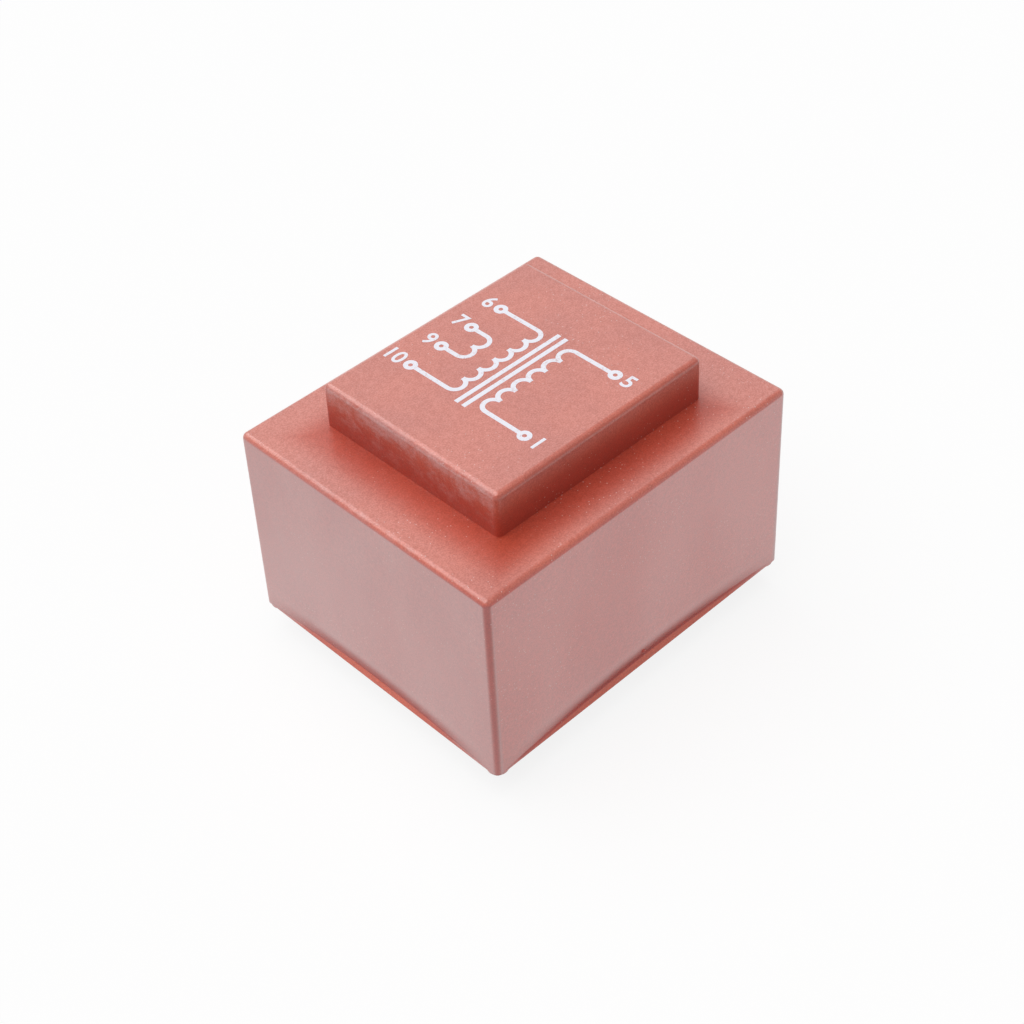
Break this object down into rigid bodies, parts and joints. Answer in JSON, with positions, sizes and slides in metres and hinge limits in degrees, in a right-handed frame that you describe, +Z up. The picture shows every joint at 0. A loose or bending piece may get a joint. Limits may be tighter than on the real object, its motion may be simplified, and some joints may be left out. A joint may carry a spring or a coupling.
{
  "type": "encapsulated pcb transformer",
  "caption": "Potted mains transformer for a circuit board: stepped moulded case over a laminated core and coil, with round pins underneath.",
  "frame": {"origin": "centre of the footprint and of the four outer pins, on the seating plane under the corner feet", "axes": "+Z up, away from the board; +X along the long side of the case; +Y towards the row of four secondary pins"},
  "size_m": [0.051, 0.043, 0.0388],
  "materials": {
    "case_plastic": "satin moulded, fine grain, lightly dusted and rubbed",
    "potting_resin": "cast resin, semi-gloss",
    "core_steel": "oxide-coated sheet",
    "former_plastic": "glass-filled moulding",
    "copper_wire": "enamelled copper",
    "winding_tape": "polyester tape",
    "solder": "bright solder",
    "tinned_pin": "tinned",
    "print_ink": "white pad print"
  },
  "bodies": {
    "root": {"case": "case_plastic", "potting": "potting_resin", "e_laminations": "core_steel", "i_laminations": "core_steel", "coil_former": "former_plastic", "primary_winding": "copper_wire", "inner_secondary": "copper_wire", "outer_secondary": "copper_wire", "interlayer_tape": "winding_tape", "primary_tape": "winding_tape", "secondary_tape": "winding_tape", "solder_joints": "solder", "pin_1": "tinned_pin", "pin_5": "tinned_pin", "pin_6": "tinned_pin", "pin_7": "tinned_pin", "pin_9": "tinned_pin", "pin_10": "tinned_pin"}
  },
  "joints": []
}
